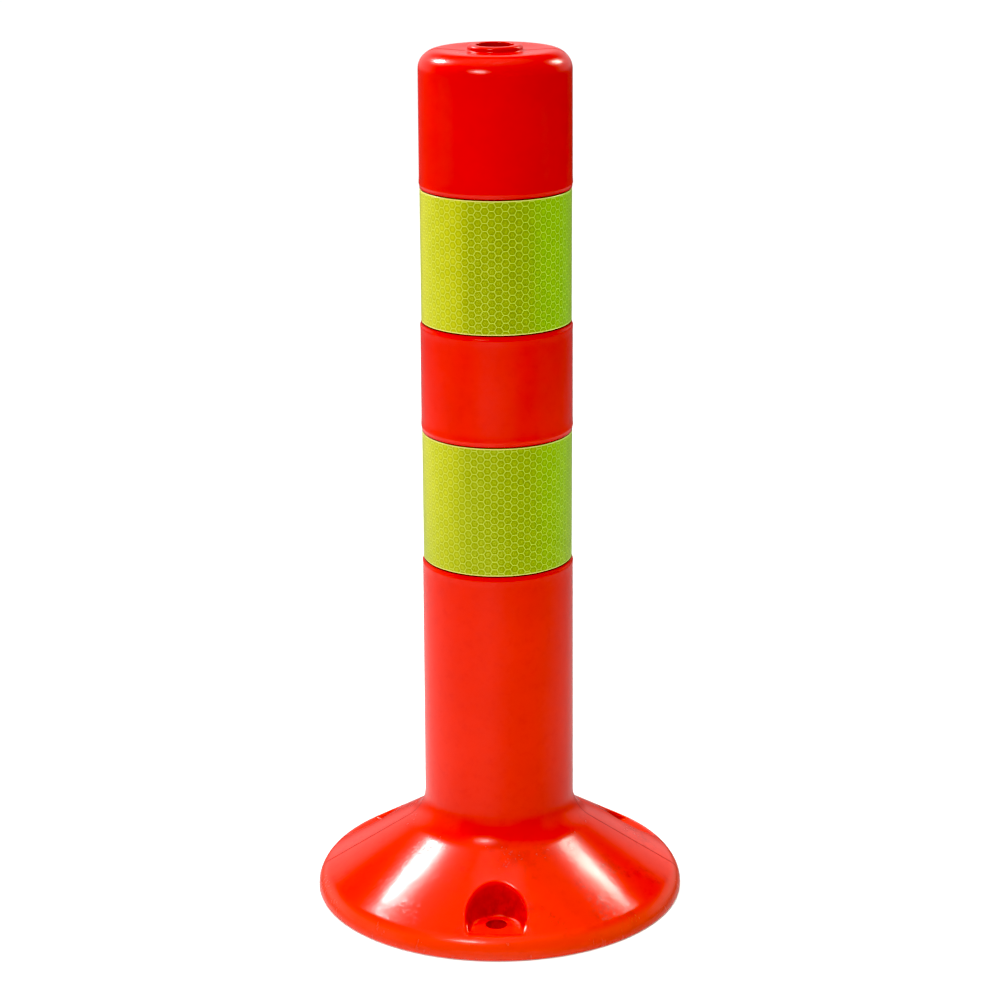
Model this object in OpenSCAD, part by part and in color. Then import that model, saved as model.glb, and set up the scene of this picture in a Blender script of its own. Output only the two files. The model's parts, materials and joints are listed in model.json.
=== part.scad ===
// Flexible self-righting delineator post: a hollow moulded polyurethane body with a conical
// bolt-down foot, two recessed retroreflective film bands and a closed top with a lipped hole.
// Millimetres, +Z up. The origin is on the ground, on the post's axis, and -Y is the front.
// The body is one moulding. Its lower tube is divided into short flexing and firm sections,
// so that it can be bent: fore and aft about X, and sideways about Y.

/* [Foot] */
// Diameter of the foot
foot_d = 200; // [190:1:207]
// Slope of the foot's cone above the ground, in degrees
cone_slope = 31.7; // [29:0.1:32]
// Radius that rounds the rim from its side to the cone
rim_round = 12; // [10:0.5:13]
// Radius of the edge that meets the ground
ground_round = 1.4; // [0.8:0.1:2]
// Radius of the hollow fillet between the cone and the tube
neck_fillet = 20; // [14:1:22]
// Wall of the foot's cone
foot_wall = 5; // [4:0.5:6]

/* [Fixing pockets] */
// Number of fixing pockets
pocket_count = 3; // [3:1:4]
// Diameter of the circle that the fixing holes lie on
bolt_circle_d = 160; // [156:1:162]
// Diameter of a fixing hole
bolt_hole_d = 11; // [9:0.5:13]
// Height of the pocket floor that the bolt head sits on
pocket_floor_z = 12; // [11:0.5:13]
// Radius of the pocket's rounded back at its floor
pocket_r = 14; // [12:0.5:14]
// Lean of the pocket's walls, in degrees
pocket_draft = 15; // [10:1:16]

/* [Underside] */
// Number of radial ribs under the foot
rib_count = 12; // [6:3:12]
// Thickness of the ribs
rib_t = 4; // [3:0.5:5]

/* [Tube] */
// Overall height, to the top of the lip
total_h = 461.5; // [455:0.5:470]
// Outer diameter of the tube just above the foot
tube_low_d = 80.8; // [80:0.2:81]
// Outer diameter of the tube just below the top
tube_top_d = 78.5; // [78:0.1:79]
// Wall of the tube
tube_wall = 5; // [4:0.5:5.5]
// Radius of the rounded shoulder at the top
shoulder_r = 10; // [8:1:11]
// How far the closed top dips towards its middle
top_dip = 0.8; // [0.4:0.1:1]

/* [Top lip] */
// Diameter of the hole through the top
top_hole_d = 19.5; // [16:0.5:20]
// Outer diameter of the lip round the hole
lip_d = 28.2; // [27:0.2:30]
// Height of the lip above the closed top
lip_h = 3; // [2.4:0.1:3.4]

/* [Reflective bands] */
// Height of the lower band's bottom edge
band_low_z = 191; // [191:0.5:193]
// Distance from one band to the next, bottom edge to bottom edge
band_pitch = 128.5; // [126:0.5:130]
// Width of the reflective film
band_h = 69; // [60:1:69]
// Thickness of the reflective film
film_t = 0.45; // [0.35:0.05:0.5]
// How far the film's face lies below the tube's surface
film_inset = 0.3; // [0.2:0.05:0.4]
// Length of the film's overlap at the back, in degrees round the tube
overlap_angle = 16; // [10:1:20]

/* [Bending neck] */
// Height at which the bending neck ends and the straight post begins
post_z = 188; // [187:0.5:188]
// Length of each flexing section
flex_h = 30.5; // [28:0.5:31]
// Length of each firm section between two flexing ones
firm_h = 2.5; // [2:0.5:3]

/* [Hidden] */

$fn = 96;
BODY = [0.93, 0.11, 0.05];
FLEX = [0.85, 0.09, 0.05];
FILM = [0.72, 0.85, 0.10];
overshoot = 30;

foot_r = foot_d / 2;
bore_r = tube_low_d / 2 - tube_wall;

// Rim: a rounded nose whose centre stands just above the ground edge's rounding.
rim_c = [foot_r - rim_round, ground_round + 0.1];
rim_end = rim_c + rim_round * [sin(cone_slope), cos(cone_slope)];
function cone_z(r) = rim_end[1] + (rim_end[0] - r) * tan(cone_slope);

// Fillet between the cone and the tube: tangent to both.
fillet_c = [tube_low_d / 2 + neck_fillet,
            cone_z(tube_low_d / 2 + neck_fillet) + neck_fillet / cos(cone_slope)];

// Sections of the bending neck, counted from the foot upwards. Each flexing section bends
// about a level line 4 mm below its top: the first and third fore and aft, the others sideways.
section_pitch = flex_h + firm_h;
neck_z = post_z - flex_h - 3 * section_pitch;
function flex_z(i) = neck_z + i * section_pitch;
function firm_z(i) = flex_z(i) + flex_h;

// Closed top.
lip_top_z = total_h;
dip_z = lip_top_z - lip_h;
crest_z = dip_z + top_dip;
crest_r = tube_top_d / 2 - shoulder_r;
ceiling_z = dip_z - tube_wall;
lip_round = 1.5;
lip_hole_round = 0.6;

// The tube tapers evenly from the foot to the shoulder.
taper_top_z = crest_z - shoulder_r;
function tube_r(z) =
    (tube_low_d + (tube_top_d - tube_low_d) * (z - neck_z) / (taper_top_z - neck_z)) / 2;

// Recess for a band: a soft shoulder, a small step, and a floor that the film is stuck to.
recess_shoulder = 2.2;
step_gap = 0.4;
function film_face_r(z0) = tube_r(z0 + band_h / 2) - film_inset;
function recess_floor_r(z0) = film_face_r(z0) - film_t;

// Points of an arc about c, from angle a0 to a1.
function arc(c, r, a0, a1, steps) =
    [for (i = [0 : steps]) let (a = a0 + (a1 - a0) * i / steps) c + r * [cos(a), sin(a)]];

// Points of the recess for the band whose bottom edge is at z0, going upwards.
function recess(z0) = let (z1 = z0 + band_h, floor_r = recess_floor_r(z0)) [
    [tube_r(z0), z0 - step_gap - recess_shoulder],
    [film_face_r(z0), z0 - step_gap],
    [floor_r, z0 - step_gap],
    [floor_r, z1 + step_gap],
    [film_face_r(z0), z1 + step_gap],
    [tube_r(z1), z1 + step_gap + recess_shoulder]];

function foot_outline() = concat(
    [[0, 0]],
    arc([foot_r - ground_round, ground_round], ground_round, -90, 0, 4),
    arc(rim_c, rim_round, 0, 90 - cone_slope, 8),
    arc(fillet_c, neck_fillet, 270 - cone_slope, 180, 8),
    [[tube_low_d / 2, neck_z], [0, neck_z]]);

// Cavity under the foot, between the inner skirt and the rim.
skirt_r = tube_low_d / 2 + 1;
cavity_rim_r = foot_r - 7;
cavity_drop = foot_wall / cos(cone_slope);
module cavity() {
    top_r = cavity_rim_r - 1.5;
    rotate_extrude()
        polygon([[skirt_r, -1], [skirt_r, cone_z(skirt_r) - cavity_drop],
                 [top_r, cone_z(top_r) - cavity_drop], [cavity_rim_r, -1]]);
}

// One fixing pocket, cut from above: a leaning half-round back and leaning sides, open outwards.
pocket_c = 84.6;
module pocket() {
    depth = 25;
    spread = depth * tan(pocket_draft);
    translate([pocket_c, 0, pocket_floor_z])
        cylinder(h = depth, r1 = pocket_r, r2 = pocket_r + spread);
    translate([pocket_c, 0, pocket_floor_z])
        rotate([90, 0, 90])
            linear_extrude(height = overshoot)
                polygon([[-pocket_r, 0], [pocket_r, 0],
                         [pocket_r + spread, depth], [-pocket_r - spread, depth]]);
}

// Solid pad that carries one pocket down to the ground: it fills the space between two ribs,
// and reaches inwards far enough to leave a wall round the pocket's back.
pad_r = 63;
module pad() {
    rotate([0, 0, -180 / rib_count])
        rotate_extrude(angle = 360 / rib_count)
            translate([pad_r, 0])
                square([cavity_rim_r - pad_r + 1, neck_z]);
}

module ribs() {
    for (i = [0 : rib_count - 1])
        rotate([0, 0, 360 / rib_count * (i + 0.5)])
            translate([skirt_r - 1, -rib_t / 2, 0])
                cube([cavity_rim_r - skirt_r + 2, rib_t, neck_z]);
    difference() {
        cylinder(h = neck_z, r = (skirt_r + cavity_rim_r) / 2 + rib_t / 2);
        translate([0, 0, -1])
            cylinder(h = neck_z + 2, r = (skirt_r + cavity_rim_r) / 2 - rib_t / 2);
    }
}

// The pockets are spaced evenly, with the first at the front.
module at_pockets() {
    for (i = [0 : pocket_count - 1])
        rotate([0, 0, 360 / pocket_count * i - 90])
            children();
}

module foot() {
    color(BODY)
        difference() {
            rotate_extrude() polygon(foot_outline());
            difference() {
                cavity();
                ribs();
                at_pockets() pad();
            }
            translate([0, 0, -1])
                cylinder(h = neck_z + 2, r = bore_r);
            at_pockets() pocket();
            at_pockets()
                translate([bolt_circle_d / 2, 0, -1])
                    cylinder(h = pocket_floor_z + 2, d = bolt_hole_d);
        }
}

// A length of the tapering tube.
module tube_section(z0, h) {
    translate([0, 0, z0])
        difference() {
            cylinder(h = h, r1 = tube_r(z0), r2 = tube_r(z0 + h));
            translate([0, 0, -1])
                cylinder(h = h + 2, r = bore_r);
        }
}

module neck_flex(i) {
    color(FLEX) tube_section(flex_z(i), flex_h);
}

module neck_firm(i) {
    color(BODY) tube_section(firm_z(i), firm_h);
}

// The straight bore leaves the upper tube a wall about one millimetre thinner than the neck's.
upper_bore_r = tube_top_d / 2 - tube_wall;
bore_step_z = post_z + 1;
module post_shell() {
    hole_r = top_hole_d / 2;
    lip_r = lip_d / 2;
    color(BODY)
        rotate_extrude()
            polygon(concat(
                [[bore_r, post_z], [tube_r(post_z), post_z]],
                recess(band_low_z),
                recess(band_low_z + band_pitch),
                arc([crest_r, taper_top_z], shoulder_r, 0, 90, 8),
                [[lip_r, dip_z]],
                arc([lip_r - lip_round, lip_top_z - lip_round], lip_round, 0, 90, 4),
                arc([hole_r + lip_hole_round, lip_top_z - lip_hole_round], lip_hole_round, 90, 180, 4),
                [[hole_r, ceiling_z]],
                arc([upper_bore_r - shoulder_r / 2, ceiling_z - shoulder_r / 2],
                    shoulder_r / 2, 90, 0, 4),
                [[upper_bore_r, bore_step_z]]));
}

// Film wrapped round the recess, its end lapped over its start at the back.
module band(z0) {
    face_r = film_face_r(z0);
    floor_r = recess_floor_r(z0);
    color(FILM)
        union() {
            translate([0, 0, z0])
                difference() {
                    cylinder(h = band_h, r = face_r);
                    translate([0, 0, -1])
                        cylinder(h = band_h + 2, r = floor_r);
                }
            rotate([0, 0, 90 - overlap_angle / 2])
                rotate_extrude(angle = overlap_angle)
                    translate([floor_r + film_t / 2, z0])
                        square([film_t * 1.5, band_h]);
        }
}

module neck_flex_1() { neck_flex(0); }
module neck_firm_1() { neck_firm(0); }
module neck_flex_2() { neck_flex(1); }
module neck_firm_2() { neck_firm(1); }
module neck_flex_3() { neck_flex(2); }
module neck_firm_3() { neck_firm(2); }
module neck_flex_4() { neck_flex(3); }
module lower_band() { band(band_low_z); }
module upper_band() { band(band_low_z + band_pitch); }

foot();
neck_flex_1();
neck_firm_1();
neck_flex_2();
neck_firm_2();
neck_flex_3();
neck_firm_3();
neck_flex_4();
post_shell();
lower_band();
upper_band();
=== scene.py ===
import functools
import json
import math
from types import SimpleNamespace

import bmesh
import bpy
import numpy as np
from mathutils import Matrix, Vector
from mathutils.geometry import delaunay_2d_cdt


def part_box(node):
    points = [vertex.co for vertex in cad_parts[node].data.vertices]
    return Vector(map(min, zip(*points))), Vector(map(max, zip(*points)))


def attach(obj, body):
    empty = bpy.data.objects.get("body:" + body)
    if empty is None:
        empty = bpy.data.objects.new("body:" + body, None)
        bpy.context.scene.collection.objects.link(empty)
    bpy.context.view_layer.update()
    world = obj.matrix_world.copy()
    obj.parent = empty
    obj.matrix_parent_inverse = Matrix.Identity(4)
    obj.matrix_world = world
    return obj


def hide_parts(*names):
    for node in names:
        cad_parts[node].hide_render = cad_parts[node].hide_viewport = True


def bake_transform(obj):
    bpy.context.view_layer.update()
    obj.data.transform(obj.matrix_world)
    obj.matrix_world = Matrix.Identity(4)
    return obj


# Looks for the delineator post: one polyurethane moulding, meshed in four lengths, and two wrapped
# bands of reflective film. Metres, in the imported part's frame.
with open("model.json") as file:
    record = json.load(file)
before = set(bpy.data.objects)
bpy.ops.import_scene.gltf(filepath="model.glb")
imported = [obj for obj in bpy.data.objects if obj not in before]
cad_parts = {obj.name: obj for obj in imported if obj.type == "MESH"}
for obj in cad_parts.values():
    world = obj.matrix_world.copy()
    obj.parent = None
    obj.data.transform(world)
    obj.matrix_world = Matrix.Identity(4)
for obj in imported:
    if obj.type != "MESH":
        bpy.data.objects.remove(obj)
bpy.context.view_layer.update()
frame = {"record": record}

MM = 0.001

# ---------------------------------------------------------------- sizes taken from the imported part

mounts = {mount["name"]: mount["dims"] for mount in frame["record"]["mounts"]}
POCKETS = mounts["ground_anchors"]["count"]
HOLE_CIRCLE_R = mounts["ground_anchors"]["pcd_mm"] / 2 * MM
HOLE_R = mounts["ground_anchors"]["hole_r_mm"] * MM
TOP_HOLE_R = mounts["top_hole"]["r_mm"] * MM

FOOT_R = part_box("foot")[1].x
NECK_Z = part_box("foot")[1].z
NECK_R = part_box("neck_flex_1")[1].x
POST_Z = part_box("neck_flex_4")[1].z
TOP_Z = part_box("post_shell")[1].z


def span(node):
    """A node's lowest and highest z."""
    low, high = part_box(node)
    return low.z, high.z


def film_thickness(node):
    """The film's end laps over its start at +Y, so the node is one thickness wider there."""
    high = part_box(node)[1]
    return high.y - high.x


BANDS = ("lower_band", "upper_band")
flex_spans = [span(f"neck_flex_{i}") for i in (1, 2, 3, 4)]
seams = [sum(span(f"neck_firm_{i}")) / 2 for i in (1, 2, 3)]

# ---------------------------------------------------------------- sizes of the moulding

CONE_SLOPE = math.radians(31.7)
RIM_ROUND = 12 * MM
RIM_FLAT = 0.1 * MM  # height of the upright stretch between the rim's two roundings
GROUND_ROUND = 1.4 * MM
NECK_FILLET = 20 * MM
WALL = 5 * MM
BORE_R = NECK_R - WALL

TOP_R = 39.25 * MM  # the tube's radius where the top shoulder starts
SHOULDER_R = 10 * MM
LIP_H = 3 * MM
LIP_R = 14.1 * MM
LIP_ROUND = 1.5 * MM
TOP_HOLE_ROUND = 0.6 * MM
LIP_FILLET = 0.9 * MM
TOP_DIP = 0.8 * MM
UPPER_BORE_R = TOP_R - WALL

POCKET_FLOOR_Z = 12 * MM
POCKET_C = 84.6 * MM  # distance from the axis to the centre of a pocket's rounded back
POCKET_R = 14 * MM
POCKET_WALL = 1 / math.tan(math.radians(15))  # rise of the leaning wall for each step outwards
POCKET_FOOT_ROUND = 1.6 * MM  # half the width of the rounding between a pocket's floor and wall
POCKET_EDGE_BLEND = 6 * MM  # depth over which a pocket's upper edges melt into the cone
POCKET_LOW_BLEND = 0.9 * MM  # the same where an edge comes down to the floor
POCKET_BLEND_RISE = 5 * MM  # height above the floor that takes it from the one to the other
POCKET_FLARE = 0.13  # how fast each side of a pocket opens towards the rim
HOLE_EDGE = 0.4 * MM

RIBS = 12
RIB_T = 4 * MM
RIB_RING = (65.2 * MM, 69.2 * MM)  # inner and outer radius of the ring that crosses the ribs
SKIRT_R = NECK_R + 1 * MM  # the cells, the hollows between the ribs, start at this radius
CAVITY_R = 92.4 * MM  # the cells end at this radius
PAD_R = 63 * MM  # the cells end at this radius where a pocket's solid pad stands
CELL_ROUND = 2.2 * MM  # upright corners of a cell
CELL_EDGE = 0.5 * MM  # edges of the cells and the bore on the ground
CELL_TOP_ROUND = 1.8 * MM  # edges between a cell's walls and its ceiling
CELL_DRAFT = 0.4 * MM
CEILING_DROP = WALL / math.cos(CONE_SLOPE)

STEP_GAP = 0.4 * MM  # gap between the film's edge and the recess's step
STEP_EDGE = 0.3 * MM
RECESS_SHOULDER = 2.2 * MM
BEAD_H = 0.15 * MM  # the tube swells this much just outside a recess
BEAD_RUN = 4 * MM

# The moulding has a fine ridge where the two halves of its mould met, in the plane y = 0.
RIDGE_H = 0.13 * MM
RIDGE_HALF_W = 0.3 * MM
RIDGE_FOOT_Z, RIDGE_FOOT_FADE = 2 * MM, 4 * MM  # where it starts above the ground, and how softly
RIDGE_TOP_GAP, RIDGE_TOP_FADE = 0.3 * MM, 0.8 * MM  # where it ends below the lip's top

SEGMENTS = 240  # columns of points round the axis
RIDGE_COLUMNS = (0.08, 0.2, 0.5, 1.0)  # extra columns beside the ridge, in degrees

azimuths = {360 / SEGMENTS * i for i in range(SEGMENTS)}
for side in (0, 180):
    for step in RIDGE_COLUMNS:
        azimuths |= {(side + step) % 360, (side - step) % 360}
AZIMUTHS = np.radians(sorted(azimuths))

# ---------------------------------------------------------------- profiles in the (r, z) plane

RIM_C = (FOOT_R - RIM_ROUND, GROUND_ROUND + RIM_FLAT)
RIM_END = (RIM_C[0] + RIM_ROUND * math.sin(CONE_SLOPE), RIM_C[1] + RIM_ROUND * math.cos(CONE_SLOPE))


def cone_z(r):
    return RIM_END[1] + (RIM_END[0] - r) * math.tan(CONE_SLOPE)


def outer_z(r):
    """Height of the foot's upper surface without its pockets, on the cone and the rim."""
    rim = RIM_C[1] + np.sqrt(np.maximum(RIM_ROUND**2 - (r - RIM_C[0]) ** 2, 0))
    return np.where(r > RIM_END[0], rim, cone_z(r))


FILLET_C = (
    NECK_R + NECK_FILLET,
    cone_z(NECK_R + NECK_FILLET) + NECK_FILLET / math.cos(CONE_SLOPE),
)
DIP_Z = TOP_Z - LIP_H
CREST_Z = DIP_Z + TOP_DIP
TAPER_TOP_Z = CREST_Z - SHOULDER_R
CEILING_Z = DIP_Z - WALL


def tube_r(z):
    return NECK_R + (TOP_R - NECK_R) * (z - NECK_Z) / (TAPER_TOP_Z - NECK_Z)


def arc(centre, radius, start, end, steps):
    """Points of an arc, with its angles in degrees."""
    angles = np.radians(np.linspace(start, end, steps + 1))
    return [(centre[0] + radius * math.cos(a), centre[1] + radius * math.sin(a)) for a in angles]


def line(start, end, step):
    """Evenly spaced points from start up to, but not at, end."""
    count = max(1, round(math.dist(start, end) / step))
    return [tuple(np.add(start, np.subtract(end, start) * i / count)) for i in range(count)]


def tube_wall(z0, z1, step=1.2 * MM):
    """The tube's outer wall going up."""
    return line((tube_r(z0), z0), (tube_r(z1), z1), step) + [(tube_r(z1), z1)]


def bore_wall(z0, z1, step=2 * MM):
    """The neck's bore going down from z1."""
    return line((BORE_R, z1), (BORE_R, z0), step) + [(BORE_R, z0)]


def smooth(t):
    """Rises from 0 to 1 with soft ends."""
    return t * t * (3 - 2 * t)


def slope(start, end, steps=7):
    """A step from one (r, z) point to another that starts at once and ends softly."""
    points = []
    for t in np.linspace(0, 1, steps + 1):
        fall = math.sin(t * math.pi / 2)
        points.append((start[0] + (end[0] - start[0]) * fall, start[1] + (end[1] - start[1]) * t))
    return points


def shoulder(start, end, steps=7):
    """A soft step from one (r, z) point to another."""
    points = []
    for t in np.linspace(0, 1, steps + 1):
        rise = smooth(t)
        points.append((start[0] + (end[0] - start[0]) * rise, start[1] + (end[1] - start[1]) * t))
    return points


# ---------------------------------------------------------------- mesh building


def ridge(points, amount=1.0):
    """Height of the mould ridge at each point, from its distance to the plane y = 0."""
    near = np.clip(1 - (points[..., 1] / RIDGE_HALF_W) ** 2, 0, 1)
    return RIDGE_H * near**2 * amount


WELD = 0.002 * MM  # points closer than this are merged
SHARP_ANGLE = math.radians(42)


class Shell:
    """One closed surface made of patches. Patches share their border points, which build() merges."""

    def __init__(self):
        self.points, self.faces, self.count = [], [], 0

    def add(self, points, faces):
        self.points.append(np.asarray(points, float).reshape(-1, 3))
        self.faces += [tuple(self.count + i for i in face) for face in faces]
        self.count += len(self.points[-1])

    def revolve(self, outer, inner=(), ridged=None, upright=None, closed=False):
        """Turns a path of (r, z) points round the axis, with the material on its left. The path runs
        over the outer points, which may carry the mould ridge, and then over the inner ones.
        ridged is the share of the ridge at each outer point. The ridge rises square to the surface,
        but straight up and by a given factor at the outer points listed in upright."""
        path = np.array(list(outer) + list(inner))
        along = np.gradient(path[: len(outer)], axis=0)
        way = np.zeros_like(path)
        way[: len(outer)] = np.stack([along[:, 1], -along[:, 0]], 1)
        way[: len(outer)] /= np.linalg.norm(along, axis=1)[:, None]
        for i, factor in (upright or {}).items():
            way[i] = (0, factor)
        turn = np.stack([np.cos(AZIMUTHS), np.sin(AZIMUTHS)], 1)

        def swept(pairs):
            level = np.repeat(pairs[:, None, 1:], len(turn), 1)
            return np.concatenate([pairs[:, None, :1] * turn[None], level], 2)

        grid = swept(path)
        if ridged is not None:
            amount = np.zeros(len(path))
            amount[: len(outer)] = ridged
            grid += ridge(grid, amount[:, None])[..., None] * swept(way)
        self.strips(grid, wrap=closed)

    def strips(self, grid, wrap=False, flip=False):
        """Quads between neighbouring rows of points, where each row is a closed loop."""
        rows, columns = grid.shape[:2]
        faces = []
        for i in range(rows if wrap else rows - 1):
            below, above = i * columns, (i + 1) % rows * columns
            for j in range(columns):
                k = (j + 1) % columns
                quad = (below + j, below + k, above + k, above + j)
                faces.append(quad[::-1] if flip else quad)
        self.add(grid, faces)

    def build(self, name):
        """Makes the object, with its patches merged and its sharp edges marked."""
        mesh = bpy.data.meshes.new(name)
        mesh.from_pydata(np.concatenate(self.points).tolist(), [], self.faces)
        work = bmesh.new()
        work.from_mesh(mesh)
        bmesh.ops.remove_doubles(work, verts=work.verts, dist=WELD)
        work.to_mesh(mesh)
        work.free()
        mesh.shade_smooth()
        mesh.set_sharp_from_angle(angle=SHARP_ANGLE)
        piece = bpy.data.objects.new(name, mesh)
        bpy.context.scene.collection.objects.link(piece)
        return piece


def inside(points, outline):
    """Which of the points lie inside a closed outline."""
    x, y = points[:, :1], points[:, 1:]
    ax, ay = np.asarray(outline).T
    bx, by = np.roll(ax, -1), np.roll(ay, -1)
    spans = (ay > y) != (by > y)
    with np.errstate(divide="ignore", invalid="ignore"):
        crossing = x < ax + (y - ay) * (bx - ax) / (by - ay)
    return np.sum(spans & crossing, axis=1) % 2 == 1


def regions(faces, pairs):
    """Groups of faces that touch each other across the given edges."""
    sides = {pair: [] for pair in pairs}
    for i, (a, b, c) in enumerate(faces.tolist()):
        for pair in (frozenset((a, b)), frozenset((b, c)), frozenset((c, a))):
            if pair in sides:
                sides[pair].append(i)
    touching = [[] for _ in faces]
    for near in sides.values():
        if len(near) == 2:
            touching[near[0]].append(near[1])
            touching[near[1]].append(near[0])
    groups, seen = [], set()
    for start in range(len(faces)):
        if start in seen:
            continue
        group, queue = [], [start]
        seen.add(start)
        while queue:
            face = queue.pop()
            group.append(face)
            fresh = [other for other in touching[face] if other not in seen]
            seen.update(fresh)
            queue += fresh
        groups.append(group)
    return groups


CDT_EPSILON = 1e-5  # in millimetres
SLIVER = 1e-3 * MM**2  # a group of smaller faces is only a rounding error outside a straight border


def triangulate(points, border, holes=(), paths=()):
    """Triangles between a closed border and its holes, with corners at the points and the paths."""
    spots = [Vector(p) for p in np.asarray(points) / MM]
    edges = []
    for courses, closed in (([border, *holes], True), (paths, False)):
        for course in courses:
            first = len(spots)
            spots += [Vector(p) for p in np.asarray(course) / MM]
            edges += [(i, i + 1) for i in range(first, len(spots) - 1)]
            if closed:
                edges.append((len(spots) - 1, first))
        if closed:
            loop_edges = len(edges)
    flat, pairs, faces, _, sources, _ = delaunay_2d_cdt(spots, edges, [], 0, CDT_EPSILON)
    flat, faces = np.array(flat) * MM, np.array(faces)

    # Faces that touch across an edge of no loop lie on the same side of every loop.
    crossable = [
        frozenset(pair) for pair, source in zip(pairs, sources)
        if min(source, default=loop_edges) >= loop_edges
    ]
    corner, ahead, across = (flat[faces[:, i]] for i in range(3))
    (ax, ay), (bx, by) = (ahead - corner).T, (across - corner).T
    area = np.abs(ax * by - ay * bx)
    middle = flat[faces].mean(1)
    wanted = inside(middle, border)
    for hole in holes:
        wanted &= ~inside(middle, hole)
    keep = []
    for group in regions(faces, crossable):
        largest = max(group, key=lambda face: area[face])
        if wanted[largest] and area[largest] > SLIVER:
            keep += group
    return flat, faces[keep]


def turned(points, angle):
    """Points turned about the axis, for an array whose rows start with x and y."""
    c, s = math.cos(angle), math.sin(angle)
    x, y = points[..., 0], points[..., 1]
    return np.concatenate([np.stack([x * c - y * s, x * s + y * c], -1), points[..., 2:]], -1)


def circle(centre_x, radius, count, z=None):
    angles = np.linspace(0, 2 * math.pi, count, endpoint=False)
    columns = [centre_x + radius * np.cos(angles), radius * np.sin(angles)]
    if z is not None:
        columns.append(np.full(count, z))
    return np.stack(columns, 1)


# ---------------------------------------------------------------- the foot's upper surface

FIELD_IN = 62 * MM  # the pockets lie between these two radii, where the surface is a height field
FIELD_OUT = 97 * MM
FIELD_FINE = 90 * MM  # outside this radius the field's points lie closer together
FIELD_STEP = 1.5 * MM
ROWS_END = FIELD_OUT - 0.5 * MM  # the rows of points across a pocket's wall end at this radius
ROWS_MARGIN = 0.45 * MM  # they reach this far past the pocket's edge
FIELD_GAP = 0.5 * MM  # the field's own points stay this far from them
BORDER_BEND = 0.004  # the borders between the thirds bow by this angle
HOLE_MOUTH_R = HOLE_R + HOLE_EDGE
HOLE_STEPS = 48
HOLE_RING = 0.7 * MM  # a ring of points lies this far outside a hole's mouth
HOLE_GAP = 1.2 * MM  # the field's own points stay this far outside it
POCKET_ANGLES = [2 * math.pi / POCKETS * i - math.pi / 2 for i in range(POCKETS)]


def pocket_offset(x, y):
    """Distance outwards from the outline of a pocket's floor, for a pocket that faces +X."""
    flare = POCKET_FLARE * np.maximum(x - POCKET_C, 0)
    return np.hypot(np.minimum(x - POCKET_C, 0), y) - POCKET_R - flare


def foot_top_z(x, y):
    """Height of the foot's upper surface in a pocket's own frame: the lower one of the cone and
    the pocket, with the edge between them melted down."""
    offset = pocket_offset(x, y)
    soft = np.clip(offset + POCKET_FOOT_ROUND, 0, 2 * POCKET_FOOT_ROUND)
    run = soft**2 / (4 * POCKET_FOOT_ROUND) + np.maximum(offset - POCKET_FOOT_ROUND, 0)
    pocket = POCKET_FLOOR_Z + run * POCKET_WALL
    outer = outer_z(np.hypot(x, y))
    climb = np.clip((pocket - POCKET_FLOOR_Z) / POCKET_BLEND_RISE, 0, 1)
    blend = POCKET_LOW_BLEND + (POCKET_EDGE_BLEND - POCKET_LOW_BLEND) * climb
    melt = np.maximum(blend - np.abs(outer - pocket), 0)
    return np.minimum(outer, pocket) - melt**2 / (4 * blend)


def ridge_rise(r):
    """How far the foot's surface rises for each step outwards along its normal."""
    return np.where(r > RIM_END[0], RIM_ROUND / (outer_z(r) - RIM_C[1]), 1 / math.cos(CONE_SLOPE))


def edge_offset(x, y):
    """How far outside the floor's outline the leaning wall meets the cone, near the point x, y."""
    return np.maximum(outer_z(np.hypot(x, y)) - POCKET_FLOOR_Z, 0) / POCKET_WALL


EDGE_HALF = POCKET_EDGE_BLEND / POCKET_WALL


def wall_stations(edge):
    """Offsets from the floor's outline at which the mesh follows a pocket's wall and its edge.
    Where the wall is low, the roundings at its foot and at its edge share it between them."""
    top = edge + EDGE_HALF
    foot = min(POCKET_FOOT_ROUND, -POCKET_FOOT_ROUND + 0.4 * (top + POCKET_FOOT_ROUND))
    brow = max(edge - EDGE_HALF, foot + 0.35 * (top - foot))
    return np.concatenate(
        [
            np.linspace(-POCKET_FOOT_ROUND, foot, 6),
            np.linspace(foot, brow, 4)[1:],
            np.linspace(brow, top, 8)[1:],
            [top + ROWS_MARGIN],
        ]
    )


def pocket_rows():
    """Rows of points across a pocket's wall, from one outer end round the back to the other. Where
    the wall meets the cone depends on the radius there, so it is found in a few rounds."""
    side = []
    for share in np.linspace(1, 0, 12)[:-1]:
        x_mid = POCKET_C + share * (math.sqrt(ROWS_END**2 - POCKET_R**2) - POCKET_C)
        half_width = POCKET_R + POCKET_FLARE * (x_mid - POCKET_C)
        edge = float(edge_offset(x_mid, half_width))
        edge = float(edge_offset(x_mid, half_width + edge))
        y = half_width + wall_stations(edge)
        side.append(np.stack([POCKET_C + share * (np.sqrt(ROWS_END**2 - y**2) - POCKET_C), y], 1))
    back = []
    for angle in np.radians(np.linspace(90, 270, 41)):
        way = np.array([math.cos(angle), math.sin(angle)])
        edge = 0.0
        for _ in range(6):
            edge = float(edge_offset(*(way * (POCKET_R + edge) + (POCKET_C, 0))))
        back.append(way * (POCKET_R + wall_stations(edge))[:, None] + (POCKET_C, 0))
    return np.array(side + back + [row * (1, -1) for row in side[::-1]])


def sector_border(turn, radii, half):
    """Outline of a third of the height field, whose two straight sides are bowed a little."""
    bend = BORDER_BEND * np.sin(np.pi * (radii - FIELD_IN) / (FIELD_OUT - FIELD_IN))
    low, high = (
        np.stack([radii * np.cos(side + bend), radii * np.sin(side + bend)], 1)[1:-1]
        for side in (-half, half)
    )
    return np.concatenate([turn * FIELD_OUT, high[::-1], turn[::-1] * FIELD_IN, low])


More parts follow.
